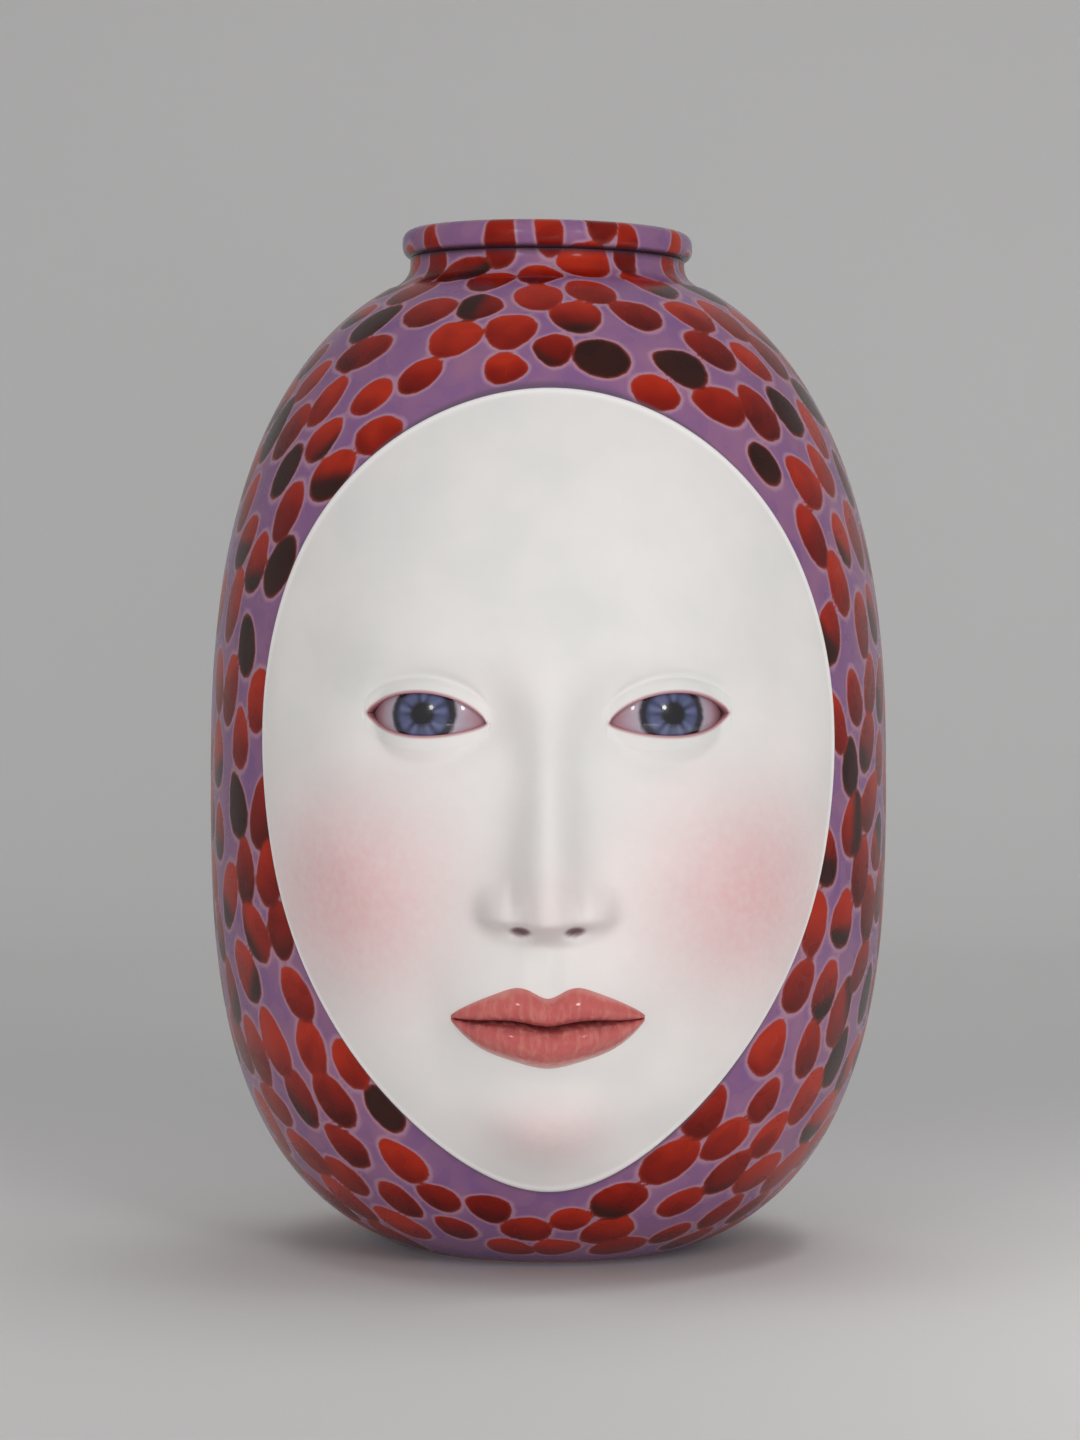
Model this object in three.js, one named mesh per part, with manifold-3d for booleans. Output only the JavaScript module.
// A majolica face vase. Two thrown halves stand on a base slab and carry a collar with a rolled rim,
// and a face is built up in relief on the front: a pressed mask, a nose, eye buttons, lids and lips.
// Millimetres, +Z up. The vase turns about Z, stands on z = 0 and its face looks along -Y.
// The clay pieces are luted with slip, so every joint keeps a thin slip gap.

import * as THREE from "three";
import { mergeVertices } from "three/addons/utils/BufferGeometryUtils.js";
import Module from "manifold-3d";

const wasm = await Module();
wasm.setup();

// The thrown body
const bellyRadius = 100;
const bellyHeight = 135.5; // where the two thrown halves meet
const footRadius = 40; // where the bowl comes down to the table
const bowlFullness = 2.82; // superellipse exponent: 2 is an ellipse, more is squarer
const shoulderHeight = 147; // from the belly up to the seat of the collar
const shoulderFullness = 2.5;
const wallThickness = 7;
const seatThickness = 6.3; // the shoulder under the collar
const slipGap = 0.3;

// The base slab
const baseThickness = 9;
const floorRadius = 44; // the inside of the bowl where it meets the slab

// The collar and its rolled rim
const collarRadius = 40.5;
const collarWall = 6;
const collarHeight = 7.4;
const collarCove = 3.5; // radius of the hollow between shoulder and collar
const coveLip = 0.8;
const rimHeight = 8.2;
const rimOverhang = 2.3; // how far the roll stands out over the collar
const rimInset = 1; // how far the roll narrows the mouth
const rimFullness = 2.6;
const rimSeatAngle = Math.PI * 0.28; // where the round of the roll ends on its flat seat

// The mask: an egg-shaped slab of clay, measured along the wall at the belly
const faceWidth = 180;
const faceHeight = 220;
const faceRaise = 1.5; // the middle of the face over the belly line
const faceNarrowing = 0.17; // how much the egg narrows towards the chin
const maskEdge = 2.2;
const maskEdgeRun = 4; // how far in the rounded edge of the mask runs
const maskSwell = 5;

// How high or deep each form of the mask is pressed
const foreheadLift = 2;
const browLift = 1.7;
const browMiddleLift = 1.2;
const socketDepth = 6.5;
const innerCornerDepth = 3;
const cheekLift = 4.4;
const templeDepth = 1.8;
const muzzleLift = 5;
const underLipDepth = 2.4;
const mouthCornerDepth = 1.3;
const chinLift = 6;

// The face keeps the drawing-book thirds: hairline to brow, brow to nose, nose to chin.
// Heights on the face are measured from its middle.
const third = faceHeight / 3;
const browLine = faceHeight / 2 - third;
const noseLine = browLine - third;
const mouthLine = noseLine - third / 3;
const eyeDrop = 17; // from brow to eye line
const eyeLine = browLine - eyeDrop;
const chinDrop = 27; // from mouth to chin
const chinLine = mouthLine - chinDrop;

const eyeSpacing = 66;
const eyeWidth = 33;
const upperOpening = 6.6;
const lowerOpening = 4.7;
const eyeTilt = 1.3; // the outer corner over the inner one, by half
const eyeballRadius = 24;
const eyeProud = 6.2; // the eye button over the floor of its socket
const eyeRoom = 1; // how far the button runs on behind the corners
const lidThickness = 1.6;
const upperLidSpan = 6.5;
const lowerLidSpan = 4.5;
const lidCornerSpan = 1.6;

const noseRootRise = 10; // over the eye line
const noseTipRise = 8; // over the nose line
const noseRootLift = 2;
const noseTipLift = 14.8;
const noseRootWidth = 8.2;
const noseTipWidth = 8.6;
const noseBallLift = 3.4;
const noseFade = 14; // how far over the root the ridge runs out
const noseFadeIn = 8; // how far below the root it has its full lift
const noseTuck = 5; // how far under the nose line the underside runs in
const noseTuckRise = 3.6;
const noseFlare = 0.25; // how much the foot of the nose widens downwards
const wingSpacing = 23.6;
const wingRadius = 5.4;
const wingHeight = 6.4;
const wingRise = 4.8; // over the nose line
const wingLift = 6;
const wingCurl = 0.28; // how much the underside of the wings curls down
const noseSink = 0.6; // how far the foot of the nose is pressed into the mask
const nostrilSpacing = 13.2;
const nostrilRadius = 2.3;
const nostrilDepth = 7;
const nostrilRise = 0.4; // over the nose line

const mouthWidth = 52;
const upperLipHeight = 9;
const lowerLipHeight = 11.2;
const upperLipLift = 3.2;
const lowerLipLift = 4.3;
const lipEdge = 0.9;
const lipRoot = 1.5; // how far the lips reach below the skin before they are trimmed to it
const cupidPeak = 0.9;
const cupidBow = 1.9;
const partingWave = 0.8; // how far the parting of the lips swings

// Counts of facets
const turnFacets = 48;
const arcSteps = 12;
const innerSteps = 7;
const baseSteps = 4;
const coveSteps = 4;
const rollSteps = 12;
const maskRings = 19;
const maskSpokes = 48;
const noseRings = 12;
const noseSpokes = 28;
const eyeRings = 6;
const eyeSpokes = 20;
const lidStations = 12;
const lidSteps = 3;
const lipStations = 18;
const lipSteps = 5;

const weldDistance = 1e-4;

// Profiles of the body

const seatRadius = collarRadius + collarCove;
const boreRadius = collarRadius - collarWall;
const innerRadius = bellyRadius - wallThickness;
const floorDrop = bellyHeight - baseThickness - slipGap;
const shoulderCrown = crownThrough(shoulderHeight, seatRadius, bellyRadius, shoulderFullness);
const bowlCrown = crownThrough(bellyHeight, footRadius, bellyRadius, bowlFullness);
const innerBowlCrown = crownThrough(floorDrop, floorRadius, innerRadius, bowlFullness);

// The height at which a superellipse from the belly closes, if it passes through one point.
function crownThrough(rise, radius, widest, fullness) {
  return rise / (1 - (radius / widest) ** fullness) ** (1 / fullness);
}

function arcRadius(widest, crown, fullness, rise) {
  return widest * (1 - (rise / crown) ** fullness) ** (1 / fullness);
}

// Points of a superellipse quarter between two distances from the belly.
function quarterArc(widest, crown, fullness, fromRise, toRise, steps = arcSteps) {
  const angleAt = (rise) => Math.asin((rise / crown) ** (fullness / 2));
  const start = angleAt(fromRise);
  const end = angleAt(toRise);
  return Array.from({ length: steps + 1 }, (_, i) => {
    const angle = start + ((end - start) * i) / steps;
    const radius = widest * Math.cos(angle) ** (2 / fullness);
    return new THREE.Vector2(radius, crown * Math.sin(angle) ** (2 / fullness));
  });
}

const raised = (points, height) => points.map((p) => new THREE.Vector2(p.x, height + p.y));
const lowered = (points, height) => points.map((p) => new THREE.Vector2(p.x, height - p.y));

// The outer wall at a height: its radius, and its outward normal in the plane of the axis.
function wallAt(height) {
  const above = height >= bellyHeight;
  const rise = Math.abs(height - bellyHeight);
  const crown = above ? shoulderCrown : bowlCrown;
  const fullness = above ? shoulderFullness : bowlFullness;
  const radius = arcRadius(bellyRadius, crown, fullness, rise);
  const out = radius ** (fullness - 1) / bellyRadius ** fullness;
  const up = (rise ** (fullness - 1) / crown ** fullness) * (above ? 1 : -1);
  const length = Math.hypot(out, up);
  return { radius, out: out / length, up: up / length };
}

// Solids

// Turns a closed profile about Z. The profile runs up its outer side.
function turned(profile) {
  return new THREE.LatheGeometry(profile, turnFacets).rotateX(Math.PI / 2);
}

function solidFrom(geometry) {
  const bare = geometry.index ? geometry.toNonIndexed() : geometry.clone();
  bare.deleteAttribute("normal");
  bare.deleteAttribute("uv");
  const merged = mergeVertices(bare, weldDistance);
  return new wasm.Manifold(
    new wasm.Mesh({
      numProp: 3,
      vertProperties: merged.attributes.position.array,
      triVerts: new Uint32Array(merged.index.array),
    }),
  );
}

function geometryFrom(solid) {
  const { vertProperties, triVerts } = solid.getMesh();
  const geometry = new THREE.BufferGeometry();
  geometry.setAttribute("position", new THREE.BufferAttribute(vertProperties, 3));
  geometry.setIndex(new THREE.BufferAttribute(triVerts, 1));
  geometry.computeVertexNormals();
  return geometry;
}

function geometryOf(points, triangles) {
  const geometry = new THREE.BufferGeometry().setFromPoints(points);
  geometry.setIndex(triangles);
  geometry.computeVertexNormals();
  return geometry;
}

// The base slab: a turned disc whose edge follows the bowl.
function baseSlab() {
  const top = bellyHeight - baseThickness;
  const edge = lowered(
    quarterArc(bellyRadius, bowlCrown, bowlFullness, top, bellyHeight, baseSteps),
    bellyHeight,
  ).reverse();
  return turned([new THREE.Vector2(0, 0), ...edge, new THREE.Vector2(0, baseThickness)]);
}

// The lower half of the body, from the slab up to the belly.
function lowerWall() {
  const top = slipGap / 2;
  const outer = quarterArc(bellyRadius, bowlCrown, bowlFullness, top, floorDrop).reverse();
  const inner = quarterArc(innerRadius, innerBowlCrown, bowlFullness, top, floorDrop, innerSteps);
  return turned(lowered([...outer, ...inner, outer[0]], bellyHeight));
}

// The upper half, from the belly to the flat seat round the neck hole.
function upperWall() {
  const bottom = slipGap / 2;
  const outer = quarterArc(bellyRadius, shoulderCrown, shoulderFullness, bottom, shoulderHeight);
  const innerCrown = shoulderCrown - wallThickness;
  const innerTop = shoulderHeight - seatThickness;
  const inner = quarterArc(
    innerRadius,
    innerCrown,
    shoulderFullness,
    bottom,
    innerTop,
    innerSteps,
  ).reverse();
  const hole = [
    new THREE.Vector2(boreRadius, shoulderHeight),
    new THREE.Vector2(boreRadius, innerTop),
  ];
  return turned(raised([...outer, ...hole, ...inner, outer[0]], bellyHeight));
}

const seatHeight = bellyHeight + shoulderHeight;
const collarBottom = seatHeight + slipGap;
const collarTop = collarBottom + collarHeight;

// The collar: a short ring with a cove at its foot.
function neckCollar() {
  const coveHeight = collarBottom + coveLip + collarCove;
  const cove = Array.from({ length: coveSteps + 1 }, (_, i) => {
    const angle = (Math.PI / 2) * (i / coveSteps);
    return new THREE.Vector2(
      seatRadius - collarCove * Math.sin(angle),
      coveHeight - collarCove * Math.cos(angle),
    );
  });
  const foot = new THREE.Vector2(seatRadius, collarBottom);
  return turned([
    foot,
    ...cove,
    new THREE.Vector2(collarRadius, collarTop),
    new THREE.Vector2(boreRadius, collarTop),
    new THREE.Vector2(boreRadius, collarBottom),
    foot,
  ]);
}

// The rim: a rolled coil of superellipse section, pressed flat on the collar.
function rimRoll() {
  const outside = collarRadius + rimOverhang;
  const inside = boreRadius - rimInset;
  const power = 2 / rimFullness;
  const rounded = (x) => Math.sign(x) * Math.abs(x) ** power;
  const halfHeight = rimHeight / (1 + Math.sin(rimSeatAngle) ** power);
  const middle = collarTop + slipGap + halfHeight * Math.sin(rimSeatAngle) ** power;
  const sweep = Math.PI + 2 * rimSeatAngle;
  const round = Array.from({ length: rollSteps + 1 }, (_, i) => {
    const angle = -rimSeatAngle + (sweep * i) / rollSteps;
    return new THREE.Vector2(
      (outside + inside) / 2 + ((outside - inside) / 2) * rounded(Math.cos(angle)),
      middle + halfHeight * rounded(Math.sin(angle)),
    );
  });
  return turned([...round, round[0]]);
}

// The face

const faceCentre = bellyHeight + faceRaise;

// A point at a distance across and up from the middle of the face, lifted off the wall.
function facePoint(across, up, lift) {
  const height = faceCentre + up;
  const wall = wallAt(height);
  const angle = across / bellyRadius;
  const radius = wall.radius + lift * wall.out;
  return new THREE.Vector3(
    radius * Math.sin(angle),
    -radius * Math.cos(angle),
    height + lift * wall.up,
  );
}

const bell = (distance, width) => Math.exp(-((distance / width) ** 2));

function ramp(from, to, value) {
  const share = THREE.MathUtils.clamp((value - from) / (to - from), 0, 1);
  return share * share * (3 - 2 * share);
}

// How far out a point is on the mask: 0 in the middle, 1 on its edge.
function maskShare(across, up) {
  const rise = up / (faceHeight / 2);
  const side = across / ((faceWidth / 2) * (1 + faceNarrowing * rise));
  return Math.hypot(side, rise);
}

// The forms of the mask: where each lies, how far it spreads and how high it lifts the clay.
// Spreads are shares of the face's third, and what belongs to an eye or the mouth lies by its width.
const maskForms = [
  form("forehead", 0, browLine + 0.4 * third, 0.63, 0.46, foreheadLift),
  form("inner brow", 0.36 * eyeSpacing, browLine, 0.2, 0.12, browLift),
  form("outer brow", 0.67 * eyeSpacing, browLine, 0.23, 0.14, browLift),
  form("between the brows", 0, browLine + 0.03 * third, 0.16, 0.14, browMiddleLift),
  form("eye socket", 0.47 * eyeSpacing, eyeLine - 0.014 * third, 0.23, 0.17, -socketDepth),
  form("inner corner", 0.22 * eyeSpacing, eyeLine + 0.03 * third, 0.095, 0.14, -innerCornerDepth),
  form("cheek", 0.64 * third, eyeLine - 0.57 * third, 0.3, 0.33, cheekLift),
  form("temple", 0.95 * third, browLine - 0.04 * third, 0.22, 0.35, -templeDepth),
  form("mouth", 0, mouthLine + 0.03 * third, 0.37, 0.3, muzzleLift),
  form("under the lip", 0, mouthLine - 0.23 * third, 0.27, 0.09, -underLipDepth),
  form("mouth corner", 0.6 * mouthWidth, mouthLine - 0.03 * third, 0.11, 0.16, -mouthCornerDepth),
  form("chin", 0, chinLine, 0.26, 0.19, chinLift),
];

function form(name, across, up, widthShare, heightShare, lift) {
  return { name, across, up, width: widthShare * third, height: heightShare * third, lift };
}

// The lift of the bare mask over the wall. Forms off the middle line are mirrored.
function maskLift(across, up) {
  const share = Math.min(maskShare(across, up), 1);
  const edgeShare = 1 - maskEdgeRun / (faceWidth / 2);
  const slab = maskEdge * (0.4 + 0.6 * ramp(1, edgeShare, share));
  const side = Math.abs(across);
  return maskForms.reduce(
    (lift, f) => lift + f.lift * bell(side - f.across, f.width) * bell(up - f.up, f.height),
    slab + maskSwell * (1 - share * share),
  );
}

// A closed patch of clay on the face: an egg-shaped outline filled by rings and spokes,
// with one lift for its outer skin and one for its underside. Its left half mirrors its right.
function patch({ across, up, halfWidth, halfHeight, narrowing, rings, spokes, outer, inner }) {
  const points = [];
  const triangles = [];
  const placeSkin = (liftAt) => {
    const first = points.length;
    points.push(facePoint(across, up, liftAt(across, up)));
    for (let i = 1; i <= rings; i++) {
      for (let j = 0; j < spokes; j++) {
        const angle = (2 * Math.PI * j) / spokes;
        const rise = (i / rings) * Math.sin(angle);
        const side = (i / rings) * Math.cos(angle) * (1 + narrowing * rise);
        const a = across + halfWidth * side;
        const u = up + halfHeight * rise;
        points.push(facePoint(a, u, liftAt(a, u)));
      }
    }
    return (i, j) => (i === 0 ? first : first + 1 + (i - 1) * spokes + (j % spokes));
  };
  const skin = placeSkin(outer);
  const under = placeSkin(inner);
  const cover = (a, b, c, d, mirrored) =>
    mirrored ? triangles.push(a, b, d, b, c, d) : triangles.push(a, b, c, a, c, d);
  for (let j = 0; j < spokes; j++) {
    const leftHalf = j >= spokes / 4 && j < (3 * spokes) / 4;
    triangles.push(skin(0, 0), skin(1, j), skin(1, j + 1));
    triangles.push(under(0, 0), under(1, j + 1), under(1, j));
    for (let i = 1; i < rings; i++) {
      cover(skin(i, j), skin(i + 1, j), skin(i + 1, j + 1), skin(i, j + 1), leftHalf);
      cover(under(i, j), under(i, j + 1), under(i + 1, j + 1), under(i + 1, j), leftHalf);
    }
    cover(skin(rings, j), under(rings, j), under(rings, j + 1), skin(rings, j + 1), leftHalf);
  }
  return geometryOf(points, triangles);
}

function maskPatch(outer, inner) {
  return patch({
    across: 0,
    up: 0,
    halfWidth: faceWidth / 2,
    halfHeight: faceHeight / 2,
    narrowing: faceNarrowing,
    rings: maskRings,
    spokes: maskSpokes,
    outer,
    inner,
  });
}

const faceMask = () => maskPatch(maskLift, () => slipGap);

// What trims the pieces that sit on the mask: its skin raised by the slip, and all below it.
const trimDepth = wallThickness;
const maskTrim = solidFrom(
  maskPatch(
    (across, up) => maskLift(across, up) + slipGap,
    () => -trimDepth,
  ),
);

// What is left of a piece above the mask, without loose crumbs.
function trimmed(geometry) {
  const pieces = solidFrom(geometry).subtract(maskTrim).decompose();
  return pieces.reduce((largest, piece) => (piece.volume() > largest.volume() ? piece : largest));
}

// The lift of the nose over the mask: a ridge that widens to a ball, two wings, and a tucked underside.
function noseLift(across, up) {
  const root = eyeLine + noseRootRise;
  const tip = noseLine + noseTipRise;
  const share = (root - up) / (root - tip);
  const height = noseRootLift + (noseTipLift - noseRootLift) * ramp(-0.15, 1.15, share);
  const width = noseRootWidth + (noseTipWidth - noseRootWidth) * ramp(0, 1, share);
  const side = Math.abs(across);
  const ridge = height * bell(across, width) * ramp(root + noseFade, root - noseFadeIn, up);
  const ball = noseBallLift * bell(across, noseTipWidth) * bell(up - tip, noseTipWidth);
  const wing =
    wingLift *
    bell(side - wingSpacing / 2, wingRadius) *
    bell(up - noseLine - wingRise, wingHeight);
  const curl = 0.1 * side - (wingCurl * side * side) / wingSpacing;
  const tuck = ramp(noseLine - noseTuck, noseLine + noseTuckRise, up + curl);
  return (ridge + ball + wing) * tuck;
}

// A nostril: an upright egg-shaped hollow on the underside of the nose.
function nostril(side) {
  const hollow = new THREE.SphereGeometry(nostrilRadius, 12, 8);
  hollow.scale(1, nostrilDepth / nostrilRadius / 2, 0.8);
  const across = (side * nostrilSpacing) / 2;
  const lift = maskLift(across, noseLine) + nostrilDepth * 0.7;
  const mouth = facePoint(across, noseLine + nostrilRise, lift);
  return solidFrom(hollow.translate(mouth.x, mouth.y, mouth.z));
}

function nose() {
  const top = eyeLine + noseRootRise + noseFade;
  const bottom = noseLine - noseTuck - noseSink;
  const block = patch({
    across: 0,
    up: (top + bottom) / 2,
    halfWidth: wingSpacing / 2 + 2 * wingRadius,
    halfHeight: (top - bottom) / 2,
    narrowing: -noseFlare,
    rings: noseRings,
    spokes: noseSpokes,
    outer: (across, up) => maskLift(across, up) + noseLift(across, up) - noseSink,
    inner: () => 0,
  });
  return geometryFrom(trimmed(block).subtract(nostril(-1)).subtract(nostril(1)));
}

// The lift of an eye button at a distance from its middle: a cap of a sphere.
const buttonTop = maskLift(eyeSpacing / 2, eyeLine) + eyeProud;

function buttonLift(across, up) {
  const square = eyeballRadius ** 2 - across ** 2 - up ** 2;
  return buttonTop - eyeballRadius + Math.sqrt(Math.max(0, square));
}

function eyeButton(side) {
  const middle = (side * eyeSpacing) / 2;
  const block = patch({
    across: middle,
    up: eyeLine,
    halfWidth: eyeWidth / 2 + eyeRoom,
    halfHeight: upperOpening + upperLidSpan,
    narrowing: 0,
    rings: eyeRings,
    spokes: eyeSpokes,
    outer: (across, up) => buttonLift(across - middle, up - eyeLine),
    inner: () => 0,
  });
  return geometryFrom(trimmed(block));
}

// A closed skin through rings of points, with a fan at each end. A mirrored one is turned inside out.
function loft(rings, mirrored) {
  const count = rings[0].length;
  const triangles = [];
  const cover = (a, b, c) => (mirrored ? triangles.push(a, c, b) : triangles.push(a, b, c));
  for (let i = 0; i + 1 < rings.length; i++) {
    for (let j = 0; j < count; j++) {
      const a = i * count + j;
      const b = i * count + ((j + 1) % count);
      cover(a, b, b + count);
      cover(a, b + count, a + count);
    }
  }
  const last = (rings.length - 1) * count;
  for (let j = 1; j + 1 < count; j++) {
    cover(0, j + 1, j);
    cover(last, last + j, last + j + 1);
  }
  return geometryOf(rings.flat(), triangles);
}

// The almond of the eye: its upper or lower edge at a share from the inner (-1) to the outer corner (1).
function almondEdge(share, upper) {
  const bow = Math.max(0, 1 - share ** 2);
  const arch = upper
    ? upperOpening * bow ** 0.72 * (1 - 0.12 * share)
    : -lowerOpening * bow ** 0.8 * (1 + 0.18 * share);
  return arch + eyeTilt * share;
}

// A lid: a strip of clay over the eye button, from the edge of the almond outwards.
function eyelid(side, upper) {
  const outwards = upper ? 1 : -1;
  const span = upper ? upperLidSpan : lowerLidSpan;
  const rings = Array.from({ length: lidStations + 1 }, (_, i) => {
    const share = -1 + (2 * i) / lidStations;
    const across = (share * eyeWidth) / 2;
    const edge = almondEdge(share, upper) + (outwards * slipGap) / 2;
    const reach = lidCornerSpan + (span - lidCornerSpan) * (1 - share ** 4);
    const pointAt = (step, thickness) => {
      const up = edge + (outwards * reach * step) / lidSteps;
      const lift = buttonLift(across, up) + slipGap + thickness;
      return facePoint((side * eyeSpacing) / 2 + side * across, eyeLine + up, lift);
    };
    const steps = Array.from({ length: lidSteps + 1 }, (_, k) => k);
    const outerSide = steps.map((k) => pointAt(k, lidThickness));
    const innerSide = steps.map((k) => pointAt(k, 0)).reverse();
    return [...outerSide, ...innerSide];
  });
  return geometryFrom(trimmed(loft(rings, side * outwards > 0)));
}

// The parting of the lips, and the outer edge of a lip, at a distance from the middle line.
const halfMouth = mouthWidth / 2;

function lipParting(across) {
  const side = Math.abs(across);
  const wave = bell(side - 0.38 * halfMouth, 0.3 * halfMouth) - bell(across, 0.27 * halfMouth);
  return mouthLine + partingWave * (wave + (side / halfMouth) ** 3);
}

function lipFullness(across) {
  return Math.max(0, 1 - (across / halfMouth) ** 2);
}

function lipReach(across, upper) {
  const full = lipFullness(across);
  if (!upper) return lowerLipHeight * (1 - Math.abs(across / halfMouth) ** 2.4) ** 0.9;
  const peak = cupidPeak * bell(Math.abs(across) - 0.25 * halfMouth, 0.18 * halfMouth);
  return upperLipHeight * full ** 0.85 + peak - cupidBow * bell(across, 0.17 * halfMouth);
}

// A lip: a lens-shaped coil laid from one corner of the mouth to the other.
function lip(upper) {
  const outwards = upper ? 1 : -1;
  const fullest = upper ? upperLipLift : lowerLipLift;
  const cornerShare = 0.96;
  const rings = Array.from({ length: lipStations + 1 }, (_, i) => {
    const across = halfMouth * cornerShare * (-1 + (2 * i) / lipStations);
    const start = lipParting(across) + (outwards * slipGap) / 2;
    const reach = lipReach(across, upper);
    const pointAt = (step, liftAt) => {
      const up = start + (outwards * reach * step) / lipSteps;
      return facePoint(across, up, maskLift(across, up) + liftAt(step / lipSteps));
    };
    const swell = lipFullness(across) ** 0.7 * fullest;
    const skin = (share) => lipEdge + swell * Math.sin(Math.PI * (0.12 + 0.88 * share) ** 0.8) ** 0.7;
    const root = () => -lipRoot;
    const steps = Array.from({ length: lipSteps + 1 }, (_, k) => k);
    return [
      ...steps.map((k) => pointAt(k, skin)),
      ...steps.map((k) => pointAt(k, root)).reverse(),
    ];
  });
  return geometryFrom(trimmed(loft(rings, upper)));
}

// Finishes

const lilacGlaze = { color: "#9a7aa8", roughness: 0.3, metalness: 0 };
const whiteGlaze = { color: "#dcd8d2", roughness: 0.6, metalness: 0 };
const coralGlaze = { color: "#c4625c", roughness: 0.35, metalness: 0 };
const slateGlaze = { color: "#6d6f8c", roughness: 0.15, metalness: 0 };

// The vase

const vase = new THREE.Group();

function place(name, geometry, finish) {
  const mesh = new THREE.Mesh(geometry, new THREE.MeshStandardMaterial(finish));
  mesh.name = name;
  vase.add(mesh);
}

place("base_slab", baseSlab(), lilacGlaze);
place("lower_wall", lowerWall(), lilacGlaze);
place("upper_wall", upperWall(), lilacGlaze);
place("neck_collar", neckCollar(), lilacGlaze);
place("rim_roll", rimRoll(), lilacGlaze);
place("face_mask", faceMask(), whiteGlaze);
place("nose", nose(), whiteGlaze);
for (const [sideName, side] of [["left", -1], ["right", 1]]) {
  place(`${sideName}_eye_button`, eyeButton(side), slateGlaze);
  place(`${sideName}_upper_eyelid`, eyelid(side, true), whiteGlaze);
  place(`${sideName}_lower_eyelid`, eyelid(side, false), whiteGlaze);
}
place("upper_lip", lip(true), coralGlaze);
place("lower_lip", lip(false), coralGlaze);

export default vase;
